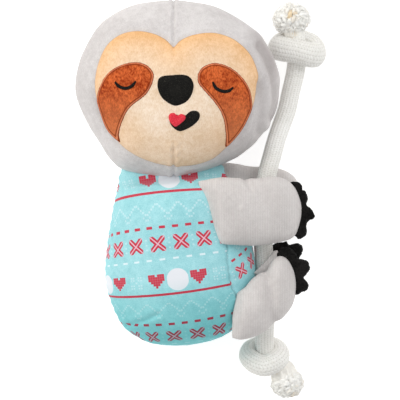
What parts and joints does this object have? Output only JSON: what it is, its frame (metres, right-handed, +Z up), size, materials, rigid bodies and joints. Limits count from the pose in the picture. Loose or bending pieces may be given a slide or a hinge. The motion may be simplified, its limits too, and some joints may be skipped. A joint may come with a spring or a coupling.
{
  "type": "plush rope toy",
  "caption": "Stuffed sloth with closed eyes and a printed body, lying on its back and hugging a knotted rope with jointed, clawed arms and legs.",
  "frame": {"origin": "middle of the flat that the torso's back rests on", "axes": "+Z up, out of the belly; +Y towards the head; +X towards the side that the arms and legs reach to"},
  "size_m": [0.1558, 0.2474, 0.0782],
  "materials": {
    "grey_plush": "short pile",
    "cream_plush": "short pile",
    "rust_plush": "short pile",
    "black_thread": "satin stitch",
    "red_felt": "matt",
    "aqua_print": "printed",
    "black_pile": "curled pile",
    "fibre_fill": "loose fibre",
    "cotton_rope": "braided"
  },
  "bodies": {
    "torso": {"torso_front_panel": "aqua_print", "torso_back_panel": "aqua_print", "torso_side_panel": "aqua_print", "torso_filling": "fibre_fill", "rope_upper_stretch": "cotton_rope", "rope_middle_stretch": "cotton_rope", "rope_lower_stretch": "cotton_rope", "upper_knot": "cotton_rope", "lower_knot": "cotton_rope", "upper_frayed_end": "cotton_rope", "lower_frayed_end": "cotton_rope"},
    "head": {"head_panel_left": "grey_plush", "head_panel_right": "grey_plush", "face_panel": "cream_plush", "eye_patch_left": "rust_plush", "eye_patch_right": "rust_plush", "closed_eye_left": "black_thread", "closed_eye_right": "black_thread", "nose": "black_thread", "mouth": "black_thread", "tongue": "red_felt", "head_filling": "fibre_fill"},
    "left_arm": {"left_arm_sleeve": "grey_plush", "left_arm_claws": "black_pile", "left_arm_filling": "fibre_fill"},
    "right_arm": {"right_arm_sleeve": "grey_plush", "right_arm_claws": "black_pile", "right_arm_filling": "fibre_fill"},
    "left_leg": {"left_leg_sleeve": "grey_plush", "left_leg_claws": "black_pile", "left_leg_filling": "fibre_fill"},
    "right_leg": {"right_leg_sleeve": "grey_plush", "right_leg_claws": "black_pile", "right_leg_filling": "fibre_fill"}
  },
  "joints": [
    {"name": "head_turn", "type": "hinge", "parent": "torso", "child": "head", "pos_m": [-0.00481, 0.05188, 0.033], "axis": [-0.0924, 0.9957, 0], "range_deg": [-20, 20], "stiffness_Nm_per_rad": 0.15},
    {"name": "left_arm_open", "type": "hinge", "parent": "torso", "child": "left_arm", "pos_m": [0.0212, 0.02673, 0.0618], "axis": [0.3498, -0.9368, 0], "range_deg": [0, 50], "stiffness_Nm_per_rad": 0.15},
    {"name": "right_arm_open", "type": "hinge", "parent": "torso", "child": "right_arm", "pos_m": [0.01361, 0.03999, 0.0023], "axis": [-0.2615, 0.9652, 0], "range_deg": [0, 35], "stiffness_Nm_per_rad": 0.15},
    {"name": "left_leg_open", "type": "hinge", "parent": "torso", "child": "left_leg", "pos_m": [0.03552, -0.03289, 0.05345], "axis": [-0.1437, -0.9896, 0], "range_deg": [0, 45], "stiffness_Nm_per_rad": 0.15},
    {"name": "right_leg_open", "type": "hinge", "parent": "torso", "child": "right_leg", "pos_m": [0.02356, -0.03635, 0.0063], "axis": [0.1736, 0.9848, 0], "range_deg": [0, 35], "stiffness_Nm_per_rad": 0.15}
  ]
}
